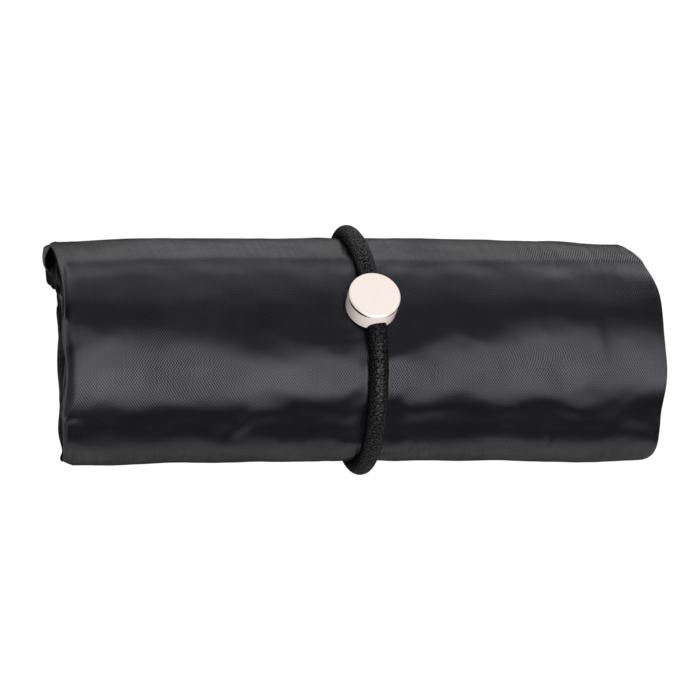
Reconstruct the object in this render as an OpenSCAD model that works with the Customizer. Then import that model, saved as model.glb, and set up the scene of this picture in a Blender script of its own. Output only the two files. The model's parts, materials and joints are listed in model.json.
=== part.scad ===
// A film changing bag, folded in three across its width, rolled up from its sleeve end, and held by
// an elastic cord that runs through a metal bead. The roll's axis is along X. The front, middle and
// back layers are wound together, so each panel is one long spiral ribbon.

/* [Rolled bag] */
// Length of the roll, a third of the bag's width
roll_len = 166; // [150:1:190]
// Radius of the roll where it is round
roll_r = 30.1; // [30:0.1:32]
// Thickness of one panel, with its three folded plies pressed together
panel_t = 0.65; // [0.6:0.01:0.7]
// Space between neighbouring panels
panel_gap = 0.2; // [0.18:0.01:0.22]

/* [Seams and sleeves] */
// Width of the binding along each side seam
binding_w = 0.8; // [0.5:0.1:2]
// Thickness of one turn of a sleeve
sleeve_t = 2.6; // [2.4:0.05:2.6]
// Length of the elastic in a sleeve's cuff
cuff_len = 25; // [15:1:35]

/* [Zips] */
// Width of one coil of the outer zip
outer_coil_w = 1.2; // [1:0.05:1.4]
// Length of the outer zip's slider
slider_len = 9; // [8:0.5:10]
// Length of the outer zip's pull
pull_len = 13; // [10:0.5:14]
// Width of the outer zip's pull
pull_w = 4.4; // [4:0.1:5]
// Length of the inner zip's slider
inner_slider_len = 8; // [7:0.5:10]

/* [Elastic band] */
// Diameter of the braided cord
cord_d = 5; // [4.6:0.1:5.2]
// Thickness of the braided cover
cover_t = 0.6; // [0.5:0.05:0.7]
// Space between the cord and the roll
band_gap = 0.3; // [0.3:0.05:0.5]
// How far the band is turned out of square with the roll, in degrees
band_skew = 2.7; // [-4:0.1:4]

/* [Bead] */
// Diameter of the bead
bead_d = 14; // [13:0.5:16]
// Thickness of the bead, from its back to its front face
bead_t = 6.5; // [6.2:0.1:7]
// Where the bead sits on the band, in degrees above the horizontal
bead_angle = 67.5; // [40:0.5:90]
// How far the bead leans back on the cord, in degrees
bead_lean = 9; // [0:0.5:9]
// Width of the rounded rim around the bead's front face
bead_rim = 0.7; // [0.4:0.1:1]

/* [Hidden] */
$fn = 64;

// Angles are measured around the roll's axis, from +Y towards +Z: 90 is the top, 270 the floor.
// The free edge of the wound panels, on the lower back of the roll
flap_angle = -15;
// Each turn keeps its radius, then steps inwards by one pitch between these angles after its start
step_from = 303;
step_to = 325;
// The valley that a step leaves beside the free edge holds the outer zip
valley = 360 - step_to;
panel_turns = 4;
sleeve_turns = 4;
panel_pitch = panel_t + panel_gap;
turn_pitch = 4 * panel_pitch;
arc_step = 7.5;
fabric = [0.1, 0.1, 0.11];
lining = [0.07, 0.07, 0.08];
zip_nylon = [0.13, 0.13, 0.14];
zip_metal = [0.2, 0.2, 0.21];
rose_metal = [0.93, 0.84, 0.8];

// The inner bag's panels stop short of the free edge, which leaves room for the inner zip
inner_start = 25;
sleeve_r = roll_r - panel_turns * turn_pitch - panel_gap;
sleeve_pitch = sleeve_t + panel_gap;
cuff_r = sleeve_r - (sleeve_turns - 1) * sleeve_pitch - sleeve_t - panel_gap;
cuff_t = 1.7;

// The band is a ring around the roll, pressed flat where it stands on the floor
cord_r = cord_d / 2;
loop_r = roll_r + band_gap + cord_r;
foot_depth = 0.35;
axis_z = loop_r + cord_r - foot_depth;
core_r = cord_r - cover_t - 0.05;
joint_slit = 0.3;
joint_sleeve_t = 0.1;
joint_sleeve_len = 5;
bead_bore_r = cord_r + 0.2;
// The bead's back face lies this far inside the middle of the cord, just clear of the roll
bead_drop = loop_r * cos(bead_lean) - roll_r - band_gap;

// The outer zip lies flat across the valley, between these heights from the roll's axis
zip_angle = flap_angle - valley / 2;
zip_run = 0.2;
back_panel_r = roll_r - 3 * panel_pitch;
slider_floor = back_panel_r + zip_run;
slider_base_t = 0.5;
tape_t = 0.3;
tape_z = slider_floor + slider_base_t + zip_run;
coil_z = tape_z + tape_t;
coil_h = 1;
slider_top = coil_z + coil_h + zip_run;
slider_top_t = 0.7;
zip_split = 0.9;
slider_w = 7;
slider_wall = 0.6;
panels_end = roll_len / 2 - binding_w;
stop_len = 2;
slider_x = -panels_end + stop_len + 0.8 + slider_len / 2;
lug_w = 1.2;
lug_len = 4;
lug_h = 1.75;
pull_pin_r = 0.55;
pull_pin_z = slider_top + slider_top_t + 0.8;
pull_t = 0.8;
pull_arm = 3.2;

// The inner zip lies in the pocket ahead of the inner panels
inner_zip_angle = flap_angle + inner_start / 2;
inner_tape_w = 5;
inner_tape_t = 0.2;
inner_tape_z = back_panel_r + 0.5;
inner_coil_w = 1;
inner_coil_h = 0.6;
inner_coil_z = inner_tape_z + inner_tape_t;
inner_split = 0.6;
inner_plate_t = 0.3;
inner_plate_z = inner_coil_z + inner_coil_h + 0.1;
inner_slider_x = panels_end - 14;
inner_slider_w = 5;
inner_pull_len = 12;
inner_pull_w = 2.6;

function eased(t) = let(c = min(max(t, 0), 1)) c * c * (3 - 2 * c);

// How far the winding has moved inwards, at a distance s in degrees from its free edge
function inward(s, pitch) =
    let(turn = max(floor(s / 360), 0), part = s - 360 * turn)
    pitch * (turn + eased((part - step_from) / (step_to - step_from)));

function around(r, a) = r * [cos(a), sin(a)] + [0, axis_z];

function winding(r, s0, s1, pitch) =
    [for (i = [0 : ceil((s1 - s0) / arc_step)])
        let(s = min(s0 + i * arc_step, s1))
        around(r - inward(s, pitch), flap_angle + s)];

function reversed(list) = [for (i = [len(list) - 1 : -1 : 0]) list[i]];

module along_x(x0, x1) {
    translate([x0, 0, 0]) rotate([90, 0, 90]) linear_extrude(x1 - x0) children();
}

// Turns a piece drawn at the top of the roll about the roll's axis to an angle
module at_angle(a) {
    translate([0, 0, axis_z]) rotate([a - 90, 0, 0]) children();
}

// A ribbon wound around the roll from s0 to s1, with its outer side at the radius r at first
module wound(r, t, s0, s1, pitch, x0, x1) {
    along_x(x0, x1)
        polygon(concat(winding(r, s0, s1, pitch), reversed(winding(r - t, s0, s1, pitch))));
}

// A panel of the bag, counted inwards from the outermost
module panel(layer, s0) {
    last = (panel_turns - 1) * 360 + step_from;
    wound(roll_r - layer * panel_pitch, panel_t, s0, last, turn_pitch, -panels_end, panels_end);
}

module outer_front_panel() {
    color(fabric) panel(0, 0);
}

module inner_front_panel() {
    color(lining) panel(1, inner_start);
}

module inner_back_panel() {
    color(lining) panel(2, inner_start);
}

// The outer back panel runs on under the outer zip, where it keeps light out
module outer_back_panel() {
    color(fabric) panel(3, -valley);
}

// The binding closes the edges of all four panels along the spiral
module seam_binding(x0) {
    last = (panel_turns - 1) * 360 + step_from;
    color(lining)
        wound(roll_r, turn_pitch - panel_gap, 0, last, turn_pitch, x0, x0 + binding_w);
}

module sleeve(x0, x1) {
    last = (sleeve_turns - 1) * 360 + step_from;
    color(fabric) wound(sleeve_r, sleeve_t, 0, last, sleeve_pitch, x0, x1);
}

// An open ring of gathered elastic inside the rolled sleeve
module cuff_elastic(x0) {
    color(lining)
        wound(cuff_r, cuff_t, 0, 300, sleeve_pitch, x0, x0 + cuff_len);
}

module outer_zip_front_tape() {
    hem_r = roll_r - panel_t / 2;
    hem = hem_r * [-sin(valley / 2), cos(valley / 2)] + [0.05, 0];
    color(zip_nylon) at_angle(zip_angle) along_x(-panels_end, panels_end)
        polygon([hem + [0, -tape_t / 2], [-zip_split / 2, tape_z],
                 [-zip_split / 2, coil_z], hem + [0, tape_t / 2]]);
}

// The back tape bends down over the valley to meet the back panel
module outer_zip_back_tape() {
    bend = slider_w / 2 + 1;
    hem_y = back_panel_r * sin(valley / 2) - 0.2;
    hem_z = sqrt(back_panel_r ^ 2 - hem_y ^ 2) + 0.03;
    color(zip_nylon) at_angle(zip_angle) along_x(-panels_end, panels_end)
        polygon([[zip_split / 2, tape_z], [bend, tape_z], [hem_y, hem_z],
                 [hem_y, hem_z + tape_t], [bend + tape_t / 2, coil_z], [zip_split / 2, coil_z]]);
}

module outer_zip_coil(side) {
    y0 = side > 0 ? zip_split / 2 : -zip_split / 2 - outer_coil_w;
    color(zip_nylon) at_angle(zip_angle)
        translate([-panels_end + stop_len, y0, coil_z])
        cube([2 * panels_end - stop_len, outer_coil_w, coil_h]);
}

module outer_zip_stops() {
    color(zip_metal) at_angle(zip_angle)
        for (y0 = [-zip_split / 2 - outer_coil_w, zip_split / 2])
            translate([-panels_end, y0, coil_z]) cube([stop_len - 0.1, outer_coil_w, coil_h]);
}

// A slider's outline from above: square at one end, round at the other
module slider_outline(length, width) {
    r = width / 2;
    translate([-length / 2 + r, 0]) circle(r);
    translate([-length / 2 + r, -r]) square([length - r, width]);
}

module outer_zip_slider() {
    color(zip_metal) at_angle(zip_angle) translate([slider_x, 0, 0]) {
        translate([0, 0, slider_floor])
            linear_extrude(slider_base_t) slider_outline(slider_len, slider_w);
        translate([0, 0, slider_top])
            linear_extrude(slider_top_t) slider_outline(slider_len, slider_w);
        // The wedge that joins the two plates, between the two coils
        translate([-slider_len / 2 + 0.4, -zip_split / 2 + zip_run, slider_floor])
            cube([2, zip_split - 2 * zip_run, slider_top - slider_floor + 0.1]);
        for (y0 = [-slider_w / 2, slider_w / 2 - slider_wall])
            translate([-slider_len / 2 + slider_w / 2, y0, coil_z + zip_run])
                cube([slider_len - slider_w / 2, slider_wall, coil_h + 0.1]);
        difference() {
            translate([-lug_len / 2, -lug_w / 2, slider_top + slider_top_t / 2])
                cube([lug_len, lug_w, lug_h + slider_top_t / 2]);
            translate([0, lug_w, pull_pin_z])
                rotate([90, 0, 0]) cylinder(r = pull_pin_r + 0.07, h = 2 * lug_w);
        }
    }
}

// The pull lies along the zip: a pin through the slider's lug, two arms and a tab with a hole
module outer_zip_pull() {
    arm_y = lug_w / 2 + 0.2;
    color(zip_metal) at_angle(zip_angle) translate([slider_x, 0, pull_pin_z]) {
        rotate([90, 0, 0]) cylinder(r = pull_pin_r, h = pull_w, center = true);
        for (y0 = [arm_y, -pull_w / 2])
            translate([0, y0, -pull_t / 2]) cube([pull_arm + 0.1, pull_w / 2 - arm_y, pull_t]);
        translate([pull_arm, 0, -pull_t / 2]) linear_extrude(pull_t) difference() {
            union() {
                translate([0, -pull_w / 2]) square([pull_len - pull_arm - pull_w / 2, pull_w]);
                translate([pull_len - pull_arm - pull_w / 2, 0]) circle(pull_w / 2);
            }
            translate([pull_len - pull_arm - pull_w / 2, 0]) circle(pull_w / 4);
        }
    }
}

module inner_zip_tape(side) {
    y0 = side > 0 ? inner_split / 2 : -inner_split / 2 - inner_tape_w;
    color(zip_nylon) at_angle(inner_zip_angle)
        translate([-panels_end, y0, inner_tape_z])
        cube([2 * panels_end, inner_tape_w, inner_tape_t]);
}

module inner_zip_coil(side) {
    y0 = side > 0 ? inner_split / 2 : -inner_split / 2 - inner_coil_w;
    color(zip_nylon) at_angle(inner_zip_angle)
        translate([-panels_end, y0, inner_coil_z])
        cube([2 * panels_end, inner_coil_w, inner_coil_h]);
}

module inner_zip_slider() {
    color(zip_metal) at_angle(inner_zip_angle) translate([inner_slider_x, 0, 0]) {
        for (z0 = [inner_tape_z - 0.1 - inner_plate_t, inner_plate_z])
            translate([0, 0, z0])
                linear_extrude(inner_plate_t) slider_outline(inner_slider_len, inner_slider_w);
        translate([-inner_slider_len / 2 + 0.4, -inner_split / 2 + 0.15, inner_tape_z - 0.2])
            cube([1.5, inner_split - 0.3, inner_plate_z - inner_tape_z + 0.3]);
    }
}

// The inner pull lies flat on the coils behind its slider
module inner_zip_pull() {
    color(zip_metal) at_angle(inner_zip_angle)
        translate([inner_slider_x - inner_slider_len / 2 - 0.1 - inner_pull_len,
                   -inner_pull_w / 2, inner_plate_z])
        cube([inner_pull_len, inner_pull_w, inner_plate_t]);
}

// Turns the band and its bead out of square with the roll
module skewed() {
    rotate([0, 0, band_skew]) children();
}

// The band as a solid round cord of radius r
module cord_loop(r) {
    translate([0, 0, axis_z]) rotate([90, 0, 90])
        rotate_extrude() translate([loop_r, 0]) circle(r);
}

// The stretch of it within half an angle to each side of the bead
module cord_arc(r, half) {
    translate([0, 0, axis_z]) rotate([bead_angle - half, 0, 0]) rotate([90, 0, 90])
        rotate_extrude(angle = 2 * half) translate([loop_r, 0]) circle(r);
}

// The two ends of the cord meet inside the bead
module cord_ends() {
    at_angle(bead_angle) translate([-cord_d, -joint_slit / 2, loop_r - cord_d])
        cube([2 * cord_d, joint_slit, 2 * cord_d]);
}

module band_core() {
    color(lining) skewed() difference() {
        cord_loop(core_r);
        cord_ends();
    }
}

module band_cover() {
    color(fabric) skewed() difference() {
        cord_loop(cord_r);
        cord_loop(cord_r - cover_t);
        cord_ends();
        translate([-cord_d, -loop_r, -cord_d]) cube([2 * cord_d, 2 * loop_r, cord_d]);
    }
}

// A thin sleeve that holds the two ends of the cord together
module band_joint_sleeve() {
    half = joint_sleeve_len / 2 / loop_r * 180 / PI;
    color(lining) skewed() difference() {
        cord_arc(cord_r + joint_sleeve_t, half);
        cord_arc(cord_r + 0.02, half + 1);
    }
}

// A thick disc with a rounded rim. The cord's channel follows the band and opens at the back.
module bead() {
    r = bead_d / 2;
    half = 2 * asin(r / loop_r);
    color(rose_metal) skewed() difference() {
        at_angle(bead_angle) translate([0, 0, loop_r]) rotate([-bead_lean, 0, 0])
            translate([0, 0, -bead_drop]) rotate_extrude($fn = 96) {
                square([r, bead_t - bead_rim]);
                square([r - bead_rim, bead_t]);
                translate([r - bead_rim, bead_t - bead_rim]) circle(bead_rim);
            }
        cord_arc(bead_bore_r, half);
    }
}

outer_front_panel();
outer_back_panel();
inner_front_panel();
inner_back_panel();
seam_binding(-roll_len / 2);  // left_seam_binding
seam_binding(panels_end);  // right_seam_binding
sleeve(-panels_end + 2, -1);  // left_sleeve
sleeve(1, panels_end - 2);  // right_sleeve
cuff_elastic(-panels_end + 4);  // left_cuff_elastic
cuff_elastic(panels_end - 4 - cuff_len);  // right_cuff_elastic
outer_zip_front_tape();
outer_zip_back_tape();
outer_zip_coil(-1);  // outer_zip_front_coil
outer_zip_coil(1);  // outer_zip_back_coil
outer_zip_stops();
outer_zip_slider();
outer_zip_pull();
inner_zip_tape(-1);  // inner_zip_front_tape
inner_zip_tape(1);  // inner_zip_back_tape
inner_zip_coil(-1);  // inner_zip_front_coil
inner_zip_coil(1);  // inner_zip_back_coil
inner_zip_slider();
inner_zip_pull();
band_core();
band_cover();
band_joint_sleeve();
bead();
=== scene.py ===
import json
import math

import bpy
import numpy as np
from mathutils import Matrix, Vector


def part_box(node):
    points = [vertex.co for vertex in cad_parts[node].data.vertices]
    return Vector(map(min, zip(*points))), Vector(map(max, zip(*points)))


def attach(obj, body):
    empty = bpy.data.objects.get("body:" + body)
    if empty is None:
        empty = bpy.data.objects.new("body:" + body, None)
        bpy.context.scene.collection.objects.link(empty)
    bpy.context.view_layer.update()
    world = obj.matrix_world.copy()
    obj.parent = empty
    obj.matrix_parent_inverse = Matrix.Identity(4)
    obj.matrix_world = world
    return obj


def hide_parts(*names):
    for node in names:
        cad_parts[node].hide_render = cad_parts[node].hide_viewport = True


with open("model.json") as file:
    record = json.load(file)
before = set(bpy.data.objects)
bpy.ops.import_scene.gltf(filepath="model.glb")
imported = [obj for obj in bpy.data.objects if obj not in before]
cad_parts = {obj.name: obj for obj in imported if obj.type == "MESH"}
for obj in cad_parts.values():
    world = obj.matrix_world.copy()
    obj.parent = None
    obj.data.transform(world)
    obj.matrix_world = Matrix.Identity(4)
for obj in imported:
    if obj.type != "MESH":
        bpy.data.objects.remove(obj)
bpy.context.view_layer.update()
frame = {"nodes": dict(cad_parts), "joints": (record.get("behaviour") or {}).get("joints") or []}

MM = 0.001


def box_mm(node):
    low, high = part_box(node)
    return np.array(low) / MM, np.array(high) / MM


# -------------------- sizes, from the CAD frame

FRONT_LOW, FRONT_HIGH = box_mm("outer_front_panel")
BACK_HIGH = box_mm("outer_back_panel")[1]
BAND_HIGH = box_mm("band_cover")[1]
SLEEVE_LOW, SLEEVE_HIGH = box_mm("left_sleeve")
AXIS_Z = (FRONT_LOW[2] + FRONT_HIGH[2]) / 2
AXIS = np.array([0, 0, AXIS_Z])
ROLL_R = (FRONT_HIGH[2] - FRONT_LOW[2]) / 2
# Half of the roll's length
HALF = -box_mm("left_seam_binding")[0][0]
# The four panels are wound together, so each turn steps inwards by four of their pitches
PANEL_PITCH = (FRONT_HIGH[2] - BACK_HIGH[2]) / 3
TURN_PITCH = 4 * PANEL_PITCH
SLEEVE_R = (SLEEVE_HIGH[2] - SLEEVE_LOW[2]) / 2
SLEEVE_PITCH = 2.8
# How far the outer panel ends short of the roll's end, and each layer below it ends shorter still
END_GAP, LAYER_STEP = 0.4, 0.25
CUFF_R = 5.1
CORD_R = 2.5
LOOP_R = BAND_HIGH[2] - AXIS_Z - CORD_R
# The braid is a little fuller than the cord's nominal size, and the cloth keeps clear of it
BRAID_R = 2.58
CORD_CLEARANCE = 0.08
# How far the cord strays from its plane on the back side
CORD_DRIFT = 0.8
BEAD_AXIS = next(joint["axis"] for joint in frame["joints"] if joint["name"] == "bead_slide")
SKEW = math.atan2(BEAD_AXIS[1], BEAD_AXIS[0])

# Angles are in degrees around the roll, from +Y towards +Z: 90 is the top, 270 the floor
FLAP_ANGLE = -15.0
# Each turn keeps its radius, then steps inwards between these angles after its start
STEP_FROM, STEP_TO = 303.0, 325.0
# The valley that the step leaves beside the free edge holds the outer zip
VALLEY = 360.0 - STEP_TO
ZIP_ANGLE = FLAP_ANGLE - VALLEY / 2
# The skin keeps the CAD's radius on both sides of the zip as far as this, and is soft a little on
ZIP_SPAN, ZIP_FADE = 19.0, 14.0
# The inner panels start this far behind the free edge, which leaves room for the inner zip
INNER_START = 25.0
PANEL_TURNS, SLEEVE_TURNS = 4, 4
PANEL_LAST = (PANEL_TURNS - 1) * 360 + STEP_FROM
SLEEVE_LAST = (SLEEVE_TURNS - 1) * 360 + STEP_FROM
CORE_R = ROLL_R - PANEL_TURNS * TURN_PITCH

# The bead's place around the roll, and how it leans back and to one side
BEAD_ANGLE = 67.5
BEAD_LEAN = 8.0
BEAD_ROLL = 1.0
# The bead hangs to one side of the cord, whose channel is that much off its middle
BEAD_ASIDE = 0.55
# Its radius, how far its face and its back lie from the cord's middle, and its channel's radius
BEAD_R = 7.0
BEAD_FRONT = 4.4
BEAD_BACK = 2.05
BEAD_BORE_R = 2.72
# The painted dark line under the bead's rim, a painted reflection of the dark surroundings: its height from
# the bead's middle, and half its width
LINE_HEIGHT = 3.5
LINE_WIDTH = 0.45
PAINTED_REFLECTION_COLOR = (0.01, 0.006, 0.004, 1)
# It comes in over these distances to the side and down from the bead's middle, with a soft edge
LINE_SIDEWAYS, LINE_DOWNWARD, LINE_EDGE = (1.2, 4.6), (-0.6, 2.4), (-0.04, 0.1)

# -------------------- small helpers


def wrap(a):
    return (a + 180.0) % 360.0 - 180.0


def ease(t):
    """A smooth step from 0 to 1 as t goes from 0 to 1."""
    t = np.clip(t, 0.0, 1.0)
    return t * t * (3 - 2 * t)


def bump(a, centre, width):
    """1 at the angle centre, and down to nothing over about two widths on both sides."""
    return np.exp(-(wrap(a - centre) / width) ** 2)


def spot(x, a, at_x, at_a, wide_x, wide_a, turn=0.0):
    """A smooth mound on the skin, long or short along the roll and around it, turned by some degrees."""
    dx = x - at_x
    da = wrap(a - at_a) * math.pi / 180 * ROLL_R
    c, s = math.cos(math.radians(turn)), math.sin(math.radians(turn))
    return np.exp(-((c * dx + s * da) / wide_x) ** 2 - ((-s * dx + c * da) / wide_a) ** 2)


def smooth_min(a, b, k):
    """The smaller of a and b, rounded over where they are closer than k."""
    h = np.clip(0.5 + 0.5 * (b - a) / k, 0, 1)
    return b * (1 - h) + a * h - k * h * (1 - h)


def polar(x, r, a):
    """Points at the radius r and angle a about the roll's axis."""
    x, r, a = np.broadcast_arrays(x, r, np.radians(a))
    return np.stack([x, r * np.cos(a), AXIS_Z + r * np.sin(a)], axis=-1)


def outward(a):
    """The direction that leads away from the roll's axis at an angle."""
    return polar(0.0, 1.0, a) - AXIS


def grid_faces(rows, cols, around=False, along=False):
    """The quads over a grid of points. around closes the columns, along the rows."""
    index = np.arange(rows * cols).reshape(rows, cols)
    if around:
        index = np.concatenate([index, index[:, :1]], axis=1)
    if along:
        index = np.concatenate([index, index[:1]], axis=0)
    quads = np.stack([index[:-1, :-1], index[:-1, 1:], index[1:, 1:], index[1:, :-1]], axis=-1)
    return quads.reshape(-1, 4)


def grid_object(name, points, material, uv=None, around=False, along=False):
    """A mesh over a grid of points, rows by columns, with its cloth places in uv, in millimetres."""
    faces = grid_faces(*points.shape[:2], around, along)
    flat = points.reshape(-1, 3) * MM
    mesh = bpy.data.meshes.new(name)
    mesh.vertices.add(len(flat))
    mesh.vertices.foreach_set("co", flat.ravel())
    mesh.loops.add(faces.size)
    mesh.loops.foreach_set("vertex_index", faces.ravel())
    mesh.polygons.add(len(faces))
    mesh.polygons.foreach_set("loop_start", np.arange(0, faces.size, 4))
    mesh.polygons.foreach_set("loop_total", np.full(len(faces), 4))
    mesh.update(calc_edges=True)
    mesh.validate()
    if uv is not None:
        layer = mesh.uv_layers.new(name="cloth")
        layer.data.foreach_set("uv", (uv.reshape(-1, 2)[faces.ravel()] * MM).ravel())
    return finish_object(name, mesh, material)


def finish_object(name, mesh, material):
    mesh.polygons.foreach_set("use_smooth", np.full(len(mesh.polygons), True))
    mesh.materials.append(material)
    obj = bpy.data.objects.new(name, mesh)
    bpy.context.scene.collection.objects.link(obj)
    return obj


def stand_in(obj, body, node):
    """Makes a piece ride on a body and stand for a CAD node, whose mesh it hides."""
    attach(obj, body)
    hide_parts(node)


def face_object(name, points, faces, material):
    """A mesh of any faces over points in millimetres."""
    mesh = bpy.data.meshes.new(name)
    mesh.from_pydata((points * MM).tolist(), [], faces)
    mesh.update()
    return finish_object(name, mesh, material)


def joined(name, parts, material):
    """One object out of several tubes, each (points, faces)."""
    verts, faces, start = [], [], 0
    for points, quads in parts:
        verts.append(points)
        faces.extend((quads + start).tolist())
        start += len(points)
    return face_object(name, np.concatenate(verts), faces, material)


def tube(path, radius, sides):
    """Points and quads of an open tube along a path of points, with a steady frame along it."""
    step = np.gradient(path, axis=0)
    tangent = step / np.linalg.norm(step, axis=1, keepdims=True)
    side = np.cross(tangent[0], [0.0, 0.0, 1.0])
    if np.linalg.norm(side) < 0.1:
        side = np.cross(tangent[0], [0.0, 1.0, 0.0])
    across = []
    for t in tangent:
        side = side - t * (side @ t)
        side = side / np.linalg.norm(side)
        across.append(side)
    across = np.array(across)
    other = np.cross(tangent, across)
    turn = np.linspace(0, 2 * math.pi, sides, endpoint=False)[None, :, None]
    ring = across[:, None] * np.cos(turn) + other[:, None] * np.sin(turn)
    points = path[:, None] + ring * np.reshape(radius, (-1, 1, 1))
    return points.reshape(-1, 3), grid_faces(len(path), sides, around=True)


# -------------------- materials


class Shader:
    """A material with a Principled shader, and short calls to add and join its nodes."""

    def __init__(self, name, color, roughness, **sockets):
        self.material = bpy.data.materials.new(name)
        self.material.use_nodes = True
        self.nodes = self.material.node_tree.nodes
        self.links = self.material.node_tree.links
        self.out = self.nodes["Principled BSDF"]
        self.out.inputs["Base Color"].default_value = (*color, 1)
        self.out.inputs["Roughness"].default_value = roughness
        for key, value in sockets.items():
            self.out.inputs[key.replace("_", " ")].default_value = value
        self.color = color

    def node(self, kind, **values):
        """A new node. A value goes into the socket of that name, or is a setting of the node."""
        node = self.nodes.new(kind)
        for key, value in values.items():
            if key in node.inputs:
                node.inputs[key].default_value = value
            else:
                setattr(node, key, value)
        return node

    def link(self, a, b):
        self.links.new(a, b)

    def coords(self, kind, scale=(1, 1, 1), turn=(0, 0, 0)):
        place = self.node("ShaderNodeTexCoord")
        mapping = self.node("ShaderNodeMapping", Scale=scale, Rotation=turn)
        self.link(place.outputs[kind], mapping.inputs["Vector"])
        return mapping.outputs["Vector"]

    def split(self, vector):
        parts = self.node("ShaderNodeSeparateXYZ")
        self.link(vector, parts.inputs[0])
        return parts.outputs

    def noise(self, vector, scale, detail=3.0):
        noise = self.node("ShaderNodeTexNoise", Scale=scale, Detail=detail, Roughness=0.55)
        self.link(vector, noise.inputs["Vector"])
        return noise.outputs["Fac"]

    def math(self, operation, *values):
        node = self.node("ShaderNodeMath", operation=operation)
        for value, socket in zip(values, node.inputs):
            if isinstance(value, (int, float)):
                socket.default_value = value
            else:
                self.link(value, socket)
        return node.outputs[0]

    def remap(self, value, source, target=(0.0, 1.0), kind="LINEAR"):
        """Takes the range source of a value to the range target, and stops at its ends."""
        node = self.node("ShaderNodeMapRange", interpolation_type=kind)
        for key, number in zip(("From Min", "From Max", "To Min", "To Max"), (*source, *target)):
            node.inputs[key].default_value = number
        self.link(value, node.inputs["Value"])
        return node.outputs["Result"]

    def bumps(self, height, strength, distance):
        node = self.node("ShaderNodeBump", Strength=strength, Distance=distance)
        self.link(height, node.inputs["Height"])
        last = self.out.inputs["Normal"]
        if last.is_linked:
            self.link(last.links[0].from_socket, node.inputs["Normal"])
        self.link(node.outputs["Normal"], last)

    def vary_color(self, factor, spread):
        """The colour goes from darker to lighter by a share, with the factor."""
        ramp = self.node("ShaderNodeValToRGB")
        for element, gain, place in zip(ramp.color_ramp.elements, (1 - spread, 1 + spread), (0.25, 0.75)):
            element.color = (*[min(c * gain, 1.0) for c in self.color], 1)
            element.position = place
        self.link(factor, ramp.inputs["Fac"])
        self.link(ramp.outputs["Color"], self.out.inputs["Base Color"])

    def vary(self, socket, factor, target, source=(0.0, 1.0)):
        """A socket of the shader goes through the range target as the factor goes through source."""
        self.link(self.remap(factor, source, target), self.out.inputs[socket])


# Roughness in the gaps between the threads of a cloth
GAP_ROUGHNESS = 0.28
# Scales of the noise in cloth, in waves per metre: how its threads wander, their thick places, the
# grain of single threads, and large patches
WANDER, WARP_SLUBS, WEFT_SLUBS, GRAIN, PATCHES = 130, 1700, 1300, 2600, 60


def woven(name, color, roughness, pitch, relief, **sockets):
    """Plain-woven cloth. pitch is the over-and-under repeat across and along it, in metres.

    The threads that pass over stand proud and shine more, and their colour is a little lighter than in the
    gaps, where the darker colour is painted shade."""
    shader = Shader(name, color, roughness, **sockets)
    cloth = shader.coords("UV")
    parts = shader.split(cloth)
    drift = shader.math("MULTIPLY", shader.noise(cloth, WANDER, 2.0), 3.0)
    cross = 1.0
    threads = 0.0
    for axis, size in zip("XY", pitch):
        phase = shader.math("ADD", shader.math("MULTIPLY", parts[axis], 2 * math.pi / size), drift)
        swing = shader.math("SINE", phase)
        cross = shader.math("MULTIPLY", swing, cross)
        threads = shader.math("ADD", shader.math("ABSOLUTE", swing), threads)
    over = shader.math("MULTIPLY_ADD", cross, 0.5, 0.5)
    warp = shader.noise(shader.coords("UV", (1, 0.04, 1)), WARP_SLUBS, 1.0)
    weft = shader.noise(shader.coords("UV", (0.04, 1, 1)), WEFT_SLUBS, 1.0)
    slubs = shader.math("MULTIPLY_ADD", weft, 0.6, warp)
    shader.bumps(shader.math("MULTIPLY_ADD", threads, 0.25, over), 1.0, relief)
    shader.bumps(slubs, 0.5, relief)
    grain = shader.noise(cloth, GRAIN, 1.0)
    # Lighter where a thread is thick and by a fine grain, which is its own tone, and darker in the gaps
    # between threads that pass over, which is painted shade
    thread_tone_and_gap_shade = shader.math("MULTIPLY_ADD", shader.math("ADD", slubs, grain), 0.35,
                        shader.math("MULTIPLY", over, 0.5))
    shader.vary_color(thread_tone_and_gap_shade, 0.55)
    # Shinier in the same places, and by patches
    patches = shader.noise(shader.coords("Object"), PATCHES)
    uneven = shader.math("ADD", slubs, shader.math("MULTIPLY_ADD", grain, 2.2, patches))
    shine = shader.math("MULTIPLY_ADD", uneven, 0.35, shader.math("MULTIPLY_ADD", over, 0.9, -0.37))
    shader.vary("Roughness", shine, (GAP_ROUGHNESS, roughness))
    shader.vary("Specular IOR Level", shine, (0.0, 1.0), (0.66, 1.22))
    return shader.material


def metal(name, color, roughness, metallic, scratch_scale, scratch_depth, **sockets):
    """Polished or enamelled metal with fine handling marks."""
    shader = Shader(name, color, roughness, Metallic=metallic, **sockets)
    clouds = shader.noise(shader.coords("Object"), 240)
    marks = shader.noise(shader.coords("Object", (1, 0.12, 1), (0.3, 0.5, 0.7)), scratch_scale, 4.0)
    shader.bumps(marks, 0.25, scratch_depth)
    shader.vary_color(clouds, 0.02)
    shader.vary("Roughness", clouds, (roughness - 0.04, roughness + 0.05))
    return shader


# The shell's slight blue specular tint is painted light: the lamps' blue tint put into its reflections
NYLON = woven("shell_nylon", (0.0028, 0.0028, 0.0034), 0.24, (0.0007, 0.00099), 0.000025, IOR=1.43,
              Specular_Tint=(0.91, 0.91, 1.0, 1.0))
LINING = woven("lining_nylon", (0.006, 0.006, 0.0066), 0.45, (0.0006, 0.0008), 0.00004, IOR=1.4)
TAPE = woven("zip_tape_weave", (0.012, 0.012, 0.013), 0.5, (0.0009, 0.0016), 0.0001, IOR=1.4)
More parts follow.
